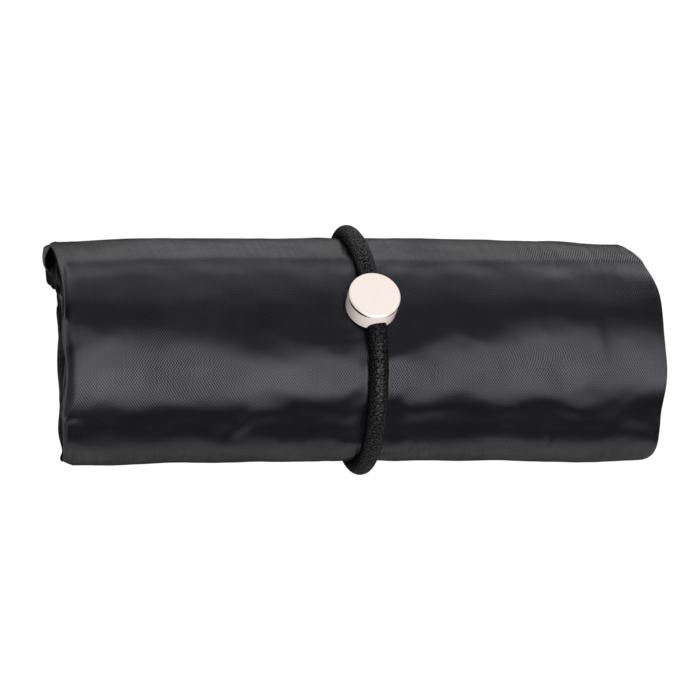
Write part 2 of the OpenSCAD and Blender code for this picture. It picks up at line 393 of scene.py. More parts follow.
# The binding is coloured far lighter than the shell cloth, partly as a painted highlight along the sewn
# edge; the topstitches share this colour
BINDING = woven("binding_weave", (0.035, 0.035, 0.037), 0.3, (0.0007, 0.0007), 0.00008, IOR=1.4)
ELASTIC = woven("elastic_weave", (0.012, 0.012, 0.013), 0.6, (0.0012, 0.0012), 0.00012, IOR=1.4)
ROSE = metal("rose_gold_plate", (1.0, 0.88, 0.81), 0.2, 0.2, 900, 0.0000015)
ENAMEL = metal("black_enamel", (0.012, 0.012, 0.013), 0.25, 0.0, 1400, 0.00001, IOR=1.5).material


def braid_material():
    shader = Shader("cord_braid", (0.0028, 0.0028, 0.0031), 0.5, IOR=1.4)
    fibres = shader.noise(shader.coords("UV", (1, 0.2, 1), (0, 0, 0.8)), 4200, 2.0)
    shader.bumps(fibres, 0.6, 0.00006)
    specks = shader.noise(shader.coords("UV"), 1900, 2.0)
    shader.vary_color(specks, 0.5)
    shader.vary("Roughness", specks, (0.35, 0.6))
    shader.vary("Specular IOR Level", specks, (0.022, 1.0), (0.44, 0.66))
    return shader.material


def plastic_material():
    shader = Shader("zip_coil_nylon", (0.012, 0.012, 0.013), 0.32, IOR=1.5)
    grain = shader.noise(shader.coords("Object"), 2500, 2.0)
    shader.bumps(grain, 0.3, 0.00001)
    shader.vary_color(grain, 0.2)
    shader.vary("Roughness", grain, (0.25, 0.4))
    return shader.material


def rubber_material():
    shader = Shader("cord_rubber", (0.02, 0.02, 0.02), 0.7, IOR=1.45)
    wave = shader.node("ShaderNodeTexWave", bands_direction="X", Scale=700, Distortion=2.0, Detail=1.0)
    shader.link(shader.coords("Object"), wave.inputs["Vector"])
    strands = wave.outputs["Fac"]
    shader.bumps(strands, 0.5, 0.00006)
    shader.vary_color(strands, 0.3)
    return shader.material


BRAID = braid_material()
COIL = plastic_material()
RUBBER = rubber_material()

# -------------------- the soft shape of the roll

# The skin's radius where nothing presses or lifts it
SKIN_R = 31.75
# How much thinner the roll is at its sewn end, and how far its underside sags
LEFT_TAPER = 0.9
UNDERSIDE_SAG = 3.3


def waves(x, a, count, long_x, long_a, seed):
    """A sum of smooth waves over the skin with lengths near the given ones, between about -1 and 1."""
    draw = np.random.default_rng(seed)
    total = 0.0
    for _ in range(count):
        across = max(round(360 / (long_a * draw.uniform(0.7, 1.5))), 1)
        along = draw.choice([-1, 1]) * 2 * math.pi / (long_x * draw.uniform(0.7, 1.6))
        phase = draw.uniform(0, 2 * math.pi)
        total = total + np.sin(across * np.radians(a) + along * x + phase)
    return total / math.sqrt(count)


def section_shape(x, a):
    """How the roll's section leaves a circle: slumped to the back on the right, ridged near the cord.

    Each part is a height in millimetres times where it lies around the roll and along it."""
    lean = (a - 96) / 42
    slumped = -2.2 * ease((x - 2) / 42) * lean * np.exp(-lean ** 2)
    ridge = 1.1 * np.exp(-((x + 12) / 32) ** 2) * bump(a, 103 - 4 * ease((x + 5) / 30), 15)
    swell = ease((-x - 32) / 30) + 0.6 * ease((x - 20) / 30)
    swell = swell * (0.55 * bump(a, 68, 13) - 0.5 * bump(a, 97, 14))
    flat = -0.35 * np.exp(-((x + 8) / 40) ** 2) * bump(a, 74, 13)
    hollow = -0.75 * bump(a, 130, 9) * (0.7 + 0.3 * np.sin(x / 21.0 + 1.0))
    shoulder = 0.35 * bump(a, 148, 9)
    ends = -1.3 * bump(a, 8, 26) * (ease((-x - 58) / 22) + 0.8 * ease((x - 55) / 25))
    low = 1.0 * bump(a, 175, 22) * (ease((-x - 48) / 24) + ease((x - 36) / 36))
    dip = 0.42 * (bump(a, 100, 18) - bump(a, 126, 15)) * ease((x - 30) / 35)
    rise = 0.5 * bump(a, 60, 15) * ease((x - 30) / 28)
    return dip + rise + slumped + ridge + swell + flat + hollow + shoulder + ends + low


def hem_shape(x, a):
    """The sewn edge: the cloth rolls over towards it on the top, and stands up as a rim with a groove
    behind it on both sides of that."""
    inside = x + HALF
    turned = ease((a - 73) / 16) * ease((130 - a) / 16)
    standing = ease((a - 38) / 12) * ease((78 - a) / 6) + 0.7 * ease((a - 125) / 6) * ease((168 - a) / 14)
    rolled = -1.0 * turned * (1 - ease(inside / (0.8 + 3.0 * turned)))
    rim = 1.4 * np.exp(-(inside / 0.95) ** 2) - 0.5 * np.exp(-((inside - 2.6) / 1.4) ** 2)
    corner = -1.5 * (1 - ease(inside / 4.5)) * bump(a, 182, 26)
    return rolled + rim * standing + corner


# Small folds of the skin: (height, place along the roll, angle, half width along the roll, half
# width around it, turn in degrees)
FOLDS = (
    (0.3, 62, 84, 2.4, 9, -18), (-0.12, 68, 118, 7, 4, 12), (0.1, 72, 124, 1.6, 5, 25),
    (0.14, 27, 84, 7, 1.3, 26), (-0.12, 25, 80, 6, 1.8, 26),
    (0.2, -9, 86, 6.5, 0.9, -8), (-0.2, -8, 83, 6.5, 1.3, -8),
    (-0.25, 12, 112, 5, 3, 20), (0.2, 9, 118, 1.4, 5, -30),
    (-0.08, 16, 128, 4, 2.5, 0), (0.2, 8, 131, 2.4, 2.4, 0),
    (0.3, -36, 133, 1.6, 4.5, 26), (-0.2, -40, 136, 2.2, 5, 20),
    (0.15, -58, 98, 1.2, 7, 10), (0.14, -35, 108, 1.0, 7, 14),
    (-0.14, 52, 100, 1.4, 8, -14), (0.12, 33, 96, 1.2, 7, -10),
    (0.14, -10, 140, 3, 1.2, 30), (-0.14, 34, 145, 4, 1.4, 25),
    (0.18, -80.6, 76, 3.0, 0.8, 20), (0.18, -80.8, 127, 2.6, 0.8, -25))

# Short creases across the skin: (place along the roll, angle, turn in degrees)
CREASES = ((-38, 27, 8), (-12, 30, 12), (-8.5, 33, 14), (33, 26, 8), (36, 29, 10), (47, 24, 14),
           (50, 27, 12), (58, 22, 10), (-60, 28, -6), (20, 25, 4), (-25, 30, 5), (65, 33, 8),
           (-4, 150, -8), (12, 152, 10), (52, 148, 6), (43, 31, 12), (54, 34, 13), (27, 32, 9),
           (-41, 52, 8), (-9, 56, 12))
CREASE_WIDTH = 0.6


def undulation(x, a):
    """The loose outer ply: broad swells, one long crease, small folds, short creases and gathers."""
    # waves(x, a, count, length along in millimetres, length around in degrees, seed)
    broad = 0.15 * waves(x, a, 7, 75, 62, 11) + 0.1 * waves(x, a, 9, 30, 34, 5)
    fine = 0.04 * waves(x, a, 12, 15, 17, 23) + 0.013 * waves(x, a, 12, 6, 9, 29)
    bend = 38 + 1.2 * np.sin(x / 19.0)
    long_crease = 0.13 * bump(a, bend, 2.6) - 0.08 * bump(a, bend - 7, 5.0) - 0.16 * bump(a, bend + 6, 5.0)
    folds = sum(height * spot(x, a, *place) for height, *place in FOLDS)
    creases = 0.0
    for at_x, at_a, turn in CREASES:
        creases = creases - 0.26 * spot(x, a, at_x, at_a, CREASE_WIDTH, 5.5, turn)
        creases = creases + 0.2 * spot(x, a, at_x + 1.1, at_a, CREASE_WIDTH, 5.0, turn)
    gathers = 0.14 * np.exp(-((np.abs(x) - 5.5) / 3.5) ** 2) * np.sin(np.radians(a) * 19 + 0.4 * x)
    return broad + fine + long_crease + folds + creases + gathers + section_shape(x, a) + hem_shape(x, a)


def drift(a):
    """How far the cord strays along the roll at an angle."""
    return -CORD_DRIFT * bump(a, 8, 34)


def cord_x(a):
    """Where the middle of the cord crosses the roll at an angle."""
    return -LOOP_R * np.cos(np.radians(a)) * math.tan(SKEW) + drift(a)


def on_cord_plane(along, y, z):
    """Points about the roll's axis, given beside the cord's plane and in it, turned with the cord."""
    c, s = math.cos(SKEW), math.sin(SKEW)
    return np.stack(np.broadcast_arrays(along * c - y * s, along * s + y * c, AXIS_Z + z), -1)


def bead_axes():
    """The bead's centre, and the turn that takes its right, up and outward directions there."""
    a = math.radians(BEAD_ANGLE)
    centre = Vector((0, LOOP_R * math.cos(a), LOOP_R * math.sin(a)))
    turn = Matrix.Rotation(a - math.pi / 2 - math.radians(BEAD_LEAN), 3, "X")
    turn = turn @ Matrix.Rotation(math.radians(BEAD_ROLL), 3, "Y")
    skew = Matrix.Rotation(SKEW, 3, "Z")
    return skew @ centre + Vector((-BEAD_ASIDE, 0, AXIS_Z)), skew @ turn


def bead_dent(x, a):
    """How far out the cloth may reach before it meets the back of the bead."""
    centre, turn = bead_axes()
    normal = np.array(turn @ Vector((0, 0, 1)))
    away = outward(a)
    lean = away @ normal
    offset = np.array(centre) - AXIS
    from_plane = offset @ normal - BEAD_BACK - 0.05
    reach = (from_plane - normal[0] * x) / np.maximum(lean, 0.2)
    place = away * ROLL_R + np.stack([x, 0 * x, 0 * x], -1) - offset
    aside = np.linalg.norm(place - (place @ normal)[..., None] * normal, axis=-1)
    return np.where(lean > 0.5, reach + 1.4 * np.maximum(aside - BEAD_R - 0.1, 0), 99.0)


def skin_radius(x, a):
    """The radius of the roll's soft skin, drawn in under the cord and the bead."""
    free = SKIN_R + LEFT_TAPER * np.minimum(x, 0) / HALF + undulation(x, a)
    off = x - cord_x(a)
    free = free - 0.3 * np.exp(-(off / 5.0) ** 2)
    under = LOOP_R - np.sqrt(np.maximum((BRAID_R + CORD_CLEARANCE) ** 2 - off ** 2, 0.0))
    under = under + np.where(np.abs(off) > BRAID_R, 4.0 * (np.abs(off) - BRAID_R), 0.0)
    skin = smooth_min(free, under, 0.25)
    return smooth_min(skin, bead_dent(x, a), 0.3)


def soften(x, rho, a):
    """Takes a place in the tidy roll, by its radius rho and angle, to its place in the soft one."""
    x, rho, a = np.broadcast_arrays(np.asarray(x, float), np.asarray(rho, float), np.asarray(a, float))
    grow = ease((rho - CORE_R) / (ROLL_R - CORE_R) * 0.9 + 0.1)
    open_skin = ease((np.abs(wrap(a - ZIP_ANGLE)) - ZIP_SPAN) / ZIP_FADE)
    radius = rho + grow * open_skin * (skin_radius(x, a) - ROLL_R)
    down = -np.sin(np.radians(a))
    back_side = ease((down - 0.80) / 0.18)
    front_side = ease((down - 0.25) / 0.7)
    low = np.where(np.cos(np.radians(a)) > 0, back_side, front_side)
    ends = ease((np.abs(x) - 5) / 45)
    radius = radius + UNDERSIDE_SAG * low * ends * grow
    points = polar(x, radius, a)
    lowest = 0.15 + 0.9 * np.maximum(ROLL_R - rho, 0)
    points[..., 2] = np.maximum(points[..., 2], lowest)
    return points


def inward(s, pitch):
    """How far the winding has moved inwards at a distance s in degrees from its free edge."""
    turn = np.maximum(np.floor(s / 360), 0)
    part = s - 360 * turn
    return pitch * (turn + ease((part - STEP_FROM) / (STEP_TO - STEP_FROM)))


# How far the ends draw in or stand out around the roll, as (angle, offset along X)
RIGHT_END = ((-95, 0), (-60, -1.5), (-20, -3.4), (10, -4.5), (30, -3.8), (50, -2.7), (70, -1.6),
             (90, -0.9), (108, -0.3), (125, 0.9), (145, 2.2), (160, 2.9), (178, 2.2), (205, 0.5), (265, 0))
LEFT_END = ((-95, 1.7), (-50, 0.8), (-15, -0.2), (0, -1.8), (17, -2.5), (40, -1.4), (55, -0.6),
            (74, -0.1), (90, 0.2), (112, 0.15), (126, -0.1), (145, 0.3), (175, 0.7), (200, 1.2), (265, 1.7))
# The inner turns stand back from the sewn end by this much
CORE_BACK = 1.0
# How far the open lip stands out past the sewn end and how deep it is hollow inside, and its shape
# around the end as (angle, share of that)
LIP_REACH, LIP_HOLLOW = 3.6, 5.0
LIP_FROM, LIP_OVER = 3.0, 3.4
LIP_SHAPE = ((-95, 0), (4, 0), (14, 0.2), (22, 0.62), (30, 0.95), (38, 1.15), (45, 1.15), (49, 1.0),
             (52, 0.5), (56, 0.2), (60, 0.08), (66, 0), (265, 0))


def end_offset(a, points):
    """A smooth offset that goes around the roll's end through a few points (angle, offset)."""
    a = np.mod(a + 95, 360) - 95
    angles, offsets = zip(*points)
    return sum(np.interp(a + shift, angles, offsets) for shift in (-6, -3, 0, 3, 6)) / 5


def right_end(a, rho):
    """How far the folded end draws back on its upper back side and sags forward lower down."""
    return end_offset(a, RIGHT_END) * ease((rho - CORE_R) / 8 + 0.3)


def left_end(a, rho):
    """How the sewn end flares and draws in around the roll, and in its core."""
    outer = ease((rho - CORE_R) / 8)
    return end_offset(a, LEFT_END) * outer + CORE_BACK * (1 - outer)


def ragged_end(s, radius):
    """How unevenly the turns of a sheet end, along X."""
    return 0.35 * waves(s * 1.7 + 40 * radius, s * 0 + radius * 37, 4, 60, 90, int(radius * 10))


# -------------------- the wound panels


def wound_sheet(name, material, radius, pitch, angles, stations, lip=False):
    """A sheet folded to and fro along X and wound into the roll, and the length of its winding.

    stations are (x, depth) along the sheet's width, where depth is how far the ply lies below the
    sheet's outer radius. angles are the winding's s values, from its free edge inwards."""
    s = np.asarray(angles, float)[:, None]
    x = np.array([p[0] for p in stations], float)[None, :]
    depth = np.array([p[1] for p in stations], float)[None, :]
    a = FLAP_ANGLE + s
    rho = radius - inward(s, pitch) - depth
    shift = right_end(a, rho) * ease((x - 30) / (HALF - 30))
    shift = shift + left_end(a, rho) * ease((-x - 55) / (HALF - 55))
    x = x + shift + ragged_end(s, radius) * ease((np.abs(x) - 74) / 9)
    if lip:
        x, rho = curled_lip(x, rho, depth, a, s)
    points = soften(x, rho, a)
    v = np.concatenate([[0], np.cumsum(np.linalg.norm(np.diff(points[:, 0], axis=0), axis=1))])
    u = np.cumsum(np.linalg.norm(np.diff(points, axis=1, prepend=points[:, :1]), axis=2), axis=1)
    uv = np.stack(np.broadcast_arrays(u, v[:, None]), -1)
    return grid_object(name, points, material, uv), v[-1]


def curled_lip(x, rho, depth, a, s):
    """Behind the sewn edge, the fold of the second and third plies swings out past the edge.

    At one place it stands out as an open loop with a hollow inside and a few small pleats."""
    # Only the lower plies of the outer turn, from 0 at some millimetres inside to 1 at their fold
    outer_turn = (s < 200) & (depth > 0.2)
    loop = end_offset(a, LIP_SHAPE)
    bulge = 0.6 * ease((a - 50) / 14) * ease((168 - a) / 14) + LIP_REACH * loop
    out = np.clip((-HALF + LIP_FROM - x) / LIP_OVER, 0, 1) * outer_turn
    x = x - ease(out) * bulge
    sunk = ease((out - 0.1) / 0.12) * (1 - ease((out - 0.86) / 0.1)) * np.sqrt(loop)
    pleats = 0.7 * np.sin(np.radians((a - 40) * 75 + out * 260)) * bump(a, 53, 6) * ease(out / 0.3)
    lowered = 1.6 * ease((out - 0.2) / 0.3) * ease((a - 52) / 10) * ease((170 - a) / 10)
    return x, rho - LIP_HOLLOW * sunk + 0.4 * ease((out - 0.9) / 0.1) * loop + pleats * outer_turn - lowered


def fold_stations(x0, x1, depths, first, others, fold_r):
    """Stations across a sheet folded to and fro between x0 and x1, one ply at each of the depths.

    first and others are the stations' shares of the way along the first ply and the others."""
    stations = []
    last = len(depths) - 1
    for ply, depth in enumerate(depths):
        left, right = x0 + (fold_r if ply else 0), x1 - (fold_r if ply < last else 0)
        run = [(left + (right - left) * share, depth) for share in (others if ply else first)]
        if ply % 2:
            run.reverse()
        stations += run
        if ply < last:
            mid, half = (depth + depths[ply + 1]) / 2, (depths[ply + 1] - depth) / 2
            end, side = (x0 + fold_r, -1) if ply % 2 else (x1 - fold_r, 1)
            for k in range(1, 6):
                turn = math.pi * k / 6
                stations.append((end + side * fold_r * math.sin(turn), mid - half * math.cos(turn)))
    return stations


def graded(count, dense_at, dense_width, dense_gain):
    """Shares from 0 to 1, closer together near one place and at both ends."""
    t = np.linspace(0, 1, 2001)
    weight = 1 + dense_gain * np.exp(-((t - dense_at) / dense_width) ** 2)
    weight = weight + 2.0 * np.exp(-(t / 0.03) ** 2) + 2.0 * np.exp(-((1 - t) / 0.03) ** 2)
    total = np.concatenate([[0], np.cumsum((weight[1:] + weight[:-1]) / 2)])
    return list(np.interp(np.linspace(0, total[-1], count), total, t))


# How deep the three plies of a panel lie in its layer
PLY_DEPTHS = (0.03, 0.34, 0.63)
SLEEVE_DEPTHS = (0.1, 0.75, 1.4, 2.05)
PANEL_FOLD_R, SLEEVE_FOLD_R = 0.3, 0.4
# Where the stations lie across one ply: closer at the folds, at the cord, and over the lip
COARSE = [0, 0.012, 0.03, 0.07, 0.15, 0.3, 0.45, 0.485, 0.5, 0.515, 0.55, 0.7, 0.85, 0.93, 0.97, 0.988, 1]
FINE = graded(330, 0.5, 0.03, 2.0)
LIP = ([0.0015 * k for k in range(13)] + [0.02, 0.025, 0.03, 0.07, 0.15, 0.3, 0.45, 0.55, 0.7, 0.85]
       + [0.93, 0.97, 0.988, 1])

# The outer turn shows as far as this, and its stations are this close, in degrees
SHOWN_TURN, SHOWN_STEP = 330, 1.4
HIDDEN_STEP, SLEEVE_STEP, COARSE_STEP = 6.0, 6.0, 5.0


def fine_angles(start):
    """Angles of a winding from its free edge, close on the turn that shows and wider inside."""
    hidden = np.arange(SHOWN_TURN, PANEL_LAST, HIDDEN_STEP)
    return np.concatenate([np.arange(start, SHOWN_TURN, SHOWN_STEP), hidden, [PANEL_LAST]])


def panel(name, node, material, layer, start, fine):
    """One panel of the bag. Layer 0 is the skin, whose outer turn and lip are made fine."""
    radius = ROLL_R - layer * PANEL_PITCH
    end_x = HALF - END_GAP - LAYER_STEP * layer
    if fine:
        angles, first, others = fine_angles(start), FINE, LIP
    else:
        angles = np.append(np.arange(start, PANEL_LAST, COARSE_STEP), PANEL_LAST)
        first, others = COARSE, COARSE
    stations = fold_stations(-end_x, end_x, PLY_DEPTHS, first, others, PANEL_FOLD_R)
    cloth, length = wound_sheet(name, material, radius, TURN_PITCH, angles, stations, lip=fine)
    stand_in(cloth, "roll", node)


panel("outer_front_cloth", "outer_front_panel", NYLON, 0, 0, fine=True)
panel("inner_front_cloth", "inner_front_panel", LINING, 1, INNER_START, fine=False)
panel("inner_back_cloth", "inner_back_panel", LINING, 2, INNER_START, fine=False)
panel("outer_back_cloth", "outer_back_panel", NYLON, 3, -VALLEY, fine=False)

# -------------------- seams, sleeves and cuffs

# Sections of the bound edges, as (distance in from the edge, height over the cloth)
LEFT_BINDING = ((0.26, 0.02), (0.22, 0.1), (0.12, 0.13), (0.0, 0.12), (-0.12, 0.04),
                (-0.12, -0.1), (0.0, -0.16), (0.12, -0.16), (0.22, -0.14), (0.26, -0.04))
RIGHT_BINDING = ((1.5, 0.02), (1.35, 0.1), (0.0, 0.11), (-0.12, 0.0), (0.0, -0.11), (1.35, -0.1))


def seam_strip(name, node, side, section, depth, end_shape):
    """A narrow bound edge along the winding, wrapped round the edge of the front panel."""
    s = fine_angles(0)[:, None]
    a = FLAP_ANGLE + s
    inset, height = np.array(section).T[:, None, :]
    x = side * (HALF - END_GAP - inset) + 0 * s
    rho = ROLL_R - inward(s, TURN_PITCH) - depth + height
    points = soften(x + end_shape(a, rho) + ragged_end(s, ROLL_R), rho, a)
    across = np.linspace(0, 3, len(section))
    uv = np.stack(np.broadcast_arrays(across, 0.9 * np.arange(1, len(s) + 1)[:, None]), -1)
    strip = grid_object(name, points, BINDING, uv, around=True)
    stand_in(strip, "roll", node)


seam_strip("left_bound_edge", "left_seam_binding", -1, LEFT_BINDING, PLY_DEPTHS[0], left_end)
seam_strip("right_bound_edge", "right_seam_binding", 1, RIGHT_BINDING, PLY_DEPTHS[2], right_end)


def sleeve(name, node, x0, x1):
    """A sleeve pressed flat, folded to and fro and wound into the core."""
    angles = np.append(np.arange(0, SLEEVE_LAST, SLEEVE_STEP), SLEEVE_LAST)
    stations = fold_stations(x0, x1, SLEEVE_DEPTHS, COARSE, COARSE, SLEEVE_FOLD_R)
    cloth, length = wound_sheet(name, NYLON, SLEEVE_R, SLEEVE_PITCH, angles, stations)
    stand_in(cloth, "roll", node)


sleeve("left_sleeve_cloth", "left_sleeve", SLEEVE_LOW[0], SLEEVE_HIGH[0])
sleeve("right_sleeve_cloth", "right_sleeve", -SLEEVE_HIGH[0], -SLEEVE_LOW[0])


def cuff(name, node):
    """An open ring of gathered elastic with soft ribs, around the core."""
    low, high = box_mm(node)
    x = np.linspace(low[0], high[0], 40)[:, None]
    turn = np.radians(np.linspace(-15, 285, 200))[None, :]
    ribs = 0.22 * np.sin(turn * 26 + 0.6 * np.sin(x / 2.2))
    radius = np.concatenate([CUFF_R - 0.4 + ribs, (CUFF_R - 1.5 + ribs)[::-1]])
    xs = np.concatenate([x, x[::-1]]) + 0 * turn
    points = polar(xs, radius, np.degrees(turn))
    uv = np.stack(np.broadcast_arrays(xs, turn * CUFF_R), -1)
    stand_in(grid_object(name, points, ELASTIC, uv, along=True), "roll", node)


cuff("left_cuff_gathers", "left_cuff_elastic")
cuff("right_cuff_gathers", "right_cuff_elastic")

# -------------------- zips


def at_angle(points, angle):
    """Turns points drawn at the top of the roll, with z as the radius, to an angle about its axis."""
    t = math.radians(angle - 90)
    y = points[..., 1] * math.cos(t) - points[..., 2] * math.sin(t)
    z = points[..., 1] * math.sin(t) + points[..., 2] * math.cos(t)
    return np.stack([points[..., 0], y, z + AXIS_Z], -1)


# Heights from the roll's axis, as the CAD zip has them
BACK_R = ROLL_R - 3 * PANEL_PITCH
TAPE_T = 0.3
TAPE_Z = BACK_R + 0.9 + TAPE_T / 2
COIL_Z = BACK_R + 0.9 + TAPE_T + 0.5
INNER_TAPE_Z = BACK_R + 0.6
INNER_ANGLE = FLAP_ANGLE + INNER_START / 2
ZIP_X0, ZIP_X1 = -HALF + 0.8, HALF - 4.6
# The two sides of a zip, and which way they lie from its middle
SIDES = (("front", -1), ("back", 1))


def zip_tape(name, node, section, thick, angle):
    """A woven tape of some thickness along X whose middle follows a section of (y, z) points."""
    section = np.array(section)
    xs = np.arange(ZIP_X0, ZIP_X1 + 0.5, 1.0)[:, None]
    slope = np.gradient(section, axis=0)
    normal = np.stack([-slope[:, 1], slope[:, 0]], -1)
    normal = normal / np.linalg.norm(normal, axis=1, keepdims=True)
    y, z = np.concatenate([section + normal * thick / 2, (section - normal * thick / 2)[::-1]]).T
    ripple = 0.035 * np.sin(xs * 0.9) + 0.02 * np.sin(xs * 2.3 + 1)
    z = z + ripple * np.linspace(1, 0, len(z))
    points = np.stack(np.broadcast_arrays(xs, y, z), -1)
    uv = np.stack(np.broadcast_arrays(xs, np.linspace(0, 14, len(y))), -1)
    tape = grid_object(name, at_angle(points, angle), TAPE, uv, around=True)
    stand_in(tape, "roll", node)


def zip_coil(name, node, side, middle, size, pitch, wire, angle, x0):
    """One side of a zip: a flattened nylon coil along X, half a turn on from the other side's."""
    turns = (ZIP_X1 - x0) / pitch
    t = np.linspace(0, turns, int(turns * 12))
    turn = 2 * math.pi * (t + (0.5 if side > 0 else 0.0))
    path = np.stack([x0 + t * pitch,
                     side * middle[0] + size[0] / 2 * np.cos(turn),
                     middle[1] + size[1] / 2 * np.sin(turn)], -1)
    points, quads = tube(path, wire, 6)
    stand_in(joined(name, [(at_angle(points, angle), quads)], COIL), "roll", node)


def outer_tape_section(side):
    """From the panel's edge over the valley to the coil."""
    half_valley = math.radians(VALLEY / 2)
    if side < 0:
        hem_r = ROLL_R - 0.33
        y, z = -hem_r * math.sin(half_valley), hem_r * math.cos(half_valley)
        return ((y, z), (-7.0, z + 0.08), (-5.0, z + 0.16),
                (-2.5, TAPE_Z), (-1.2, TAPE_Z), (-0.45, TAPE_Z))
    y = BACK_R * math.sin(half_valley) - 0.2
    z = math.sqrt(BACK_R ** 2 - y ** 2) + 0.2
    return (0.45, TAPE_Z), (2.0, TAPE_Z), (4.4, TAPE_Z), (5.4, TAPE_Z - 0.35), (7.0, z + 0.75), (y, z)


for word, side in SIDES:
    zip_tape(f"outer_zip_{word}_weave", f"outer_zip_{word}_tape", outer_tape_section(side),
             TAPE_T, ZIP_ANGLE)
for word, side in SIDES:
    zip_coil(f"outer_zip_{word}_spiral", f"outer_zip_{word}_coil", side, (0.82, COIL_Z), (1.5, 0.66),
             1.1, 0.17, ZIP_ANGLE, ZIP_X0 + 2)
for word, side in SIDES:
    zip_tape(f"inner_zip_{word}_weave", f"inner_zip_{word}_tape",
             [(side * y, INNER_TAPE_Z) for y in (0.3, 1.5, 3.0, 5.3)], 0.2, INNER_ANGLE)
for word, side in SIDES:
    zip_coil(f"inner_zip_{word}_spiral", f"inner_zip_{word}_coil", side, (0.6, INNER_TAPE_Z + 0.42),
             (0.9, 0.36), 1.3, 0.12, INNER_ANGLE, ZIP_X0 + 1)


def apply_modifiers(obj):
    graph = bpy.context.evaluated_depsgraph_get()
    mesh = bpy.data.meshes.new_from_object(obj.evaluated_get(graph))
    obj.modifiers.clear()
    obj.data = mesh


def shade_by_angle(obj, degrees):
    obj.data.polygons.foreach_set("use_smooth", np.full(len(obj.data.polygons), True))
    obj.data.set_sharp_from_angle(angle=math.radians(degrees))


def break_edges(obj, width, segments, over_degrees):
    """Rounds the edges that turn by more than an angle."""
    edge = obj.modifiers.new("edge", "BEVEL")
    edge.width = width * MM
    edge.segments = segments
    edge.limit_method = "ANGLE"
    edge.angle_limit = math.radians(over_degrees)


def softened_copy(name, node, body, width):
    """A copy of a hard CAD piece with its edges broken, which stands for it."""
    mesh = frame["nodes"][node].data.copy()
    mesh.materials.clear()
    obj = finish_object(name, mesh, ENAMEL)
    weld = obj.modifiers.new("weld", "WELD")
    weld.merge_threshold = 0.00001
    break_edges(obj, width, 2, 35)
    apply_modifiers(obj)
    shade_by_angle(obj, 40)
    stand_in(obj, body, node)


softened_copy("outer_zip_slider_body", "outer_zip_slider", "zip_slider", 0.14)
softened_copy("outer_zip_pull_tab", "outer_zip_pull", "zip_pull", 0.16)
softened_copy("outer_zip_end_stops", "outer_zip_stops", "roll", 0.15)
softened_copy("inner_zip_slider_body", "inner_zip_slider", "roll", 0.06)
softened_copy("inner_zip_pull_tab", "inner_zip_pull", "roll", 0.06)

STITCH_PITCH = 2.5
STITCH_HALF = 0.85
THREAD_R = 0.11


def topstitch(name, a):
    """A row of short thread stitches along the flap, each arched over the cloth, thin at its ends."""
    xs = np.arange(-HALF + 4, HALF - 8, STITCH_PITCH)
    out = outward(a)
    places = soften(xs, ROLL_R - PLY_DEPTHS[0], a) + out * 0.05
    t = np.linspace(-1, 1, 7)
    arch = t[:, None] * np.array([STITCH_HALF, 0, 0]) + (1 - t[:, None] ** 2) * out * 0.14
    thickness = THREAD_R * np.sqrt(np.maximum(1.02 - t ** 4, 0.05))
    row = joined(name, [tube(place + arch, thickness, 6) for place in places], BINDING)
    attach(row, "roll")


topstitch("flap_topstitch", FLAP_ANGLE + 3.5)
topstitch("flap_second_topstitch", FLAP_ANGLE + 8.5)

# -------------------- the elastic cord and its bead


def braid_height(around, along, strands, diamond):
    """The relief of a round braid: two families of strands that pass over and under in turn."""
    p = strands * around + along / diamond
    q = strands * around - along / diamond
    over = (np.floor(p) + np.floor(q)) % 2 == 0
    one, two = np.sin(math.pi * (p % 1)), np.sin(math.pi * (q % 1))
    return np.where(over, one, two) ** 0.6


def band_cover():
    """The cord's braid, a closed loop, pressed flat where it stands on the floor."""
    t = np.linspace(0, 2 * math.pi, 1100, endpoint=False)[:, None]
    turn = np.linspace(0, 2 * math.pi, 84, endpoint=False)[None, :]
    relief = braid_height(turn / (2 * math.pi), LOOP_R * t, 18, 0.86)
    # Two fine lines run along the braid where it shows
    line = wrap(np.degrees(turn) - 34) * math.pi / 180 * BRAID_R
    seam = np.exp(-(line / 0.2) ** 2) + np.exp(-((line - 0.8) / 0.2) ** 2)
    seam = seam * ease((np.cos(t - math.radians(30)) - 0.2) / 0.5)
    radius = BRAID_R - 0.16 + 0.16 * relief - 0.42 * seam
    loop = LOOP_R + radius * np.cos(turn)
    points = on_cord_plane(radius * np.sin(turn), loop * np.cos(t), loop * np.sin(t))
    points[..., 0] += drift(np.degrees(t))
    points[..., 2] = np.maximum(points[..., 2], 0.02 + 0.1 * relief)
    uv = np.stack(np.broadcast_arrays(turn * BRAID_R, LOOP_R * t), -1)
    stand_in(grid_object("band_braid", points, BRAID, uv, around=True, along=True),
             "band", "band_cover")


band_cover()
for hidden in ("band_core", "band_joint_sleeve"):
    frame["nodes"][hidden].data.materials.clear()
    frame["nodes"][hidden].data.materials.append(RUBBER)


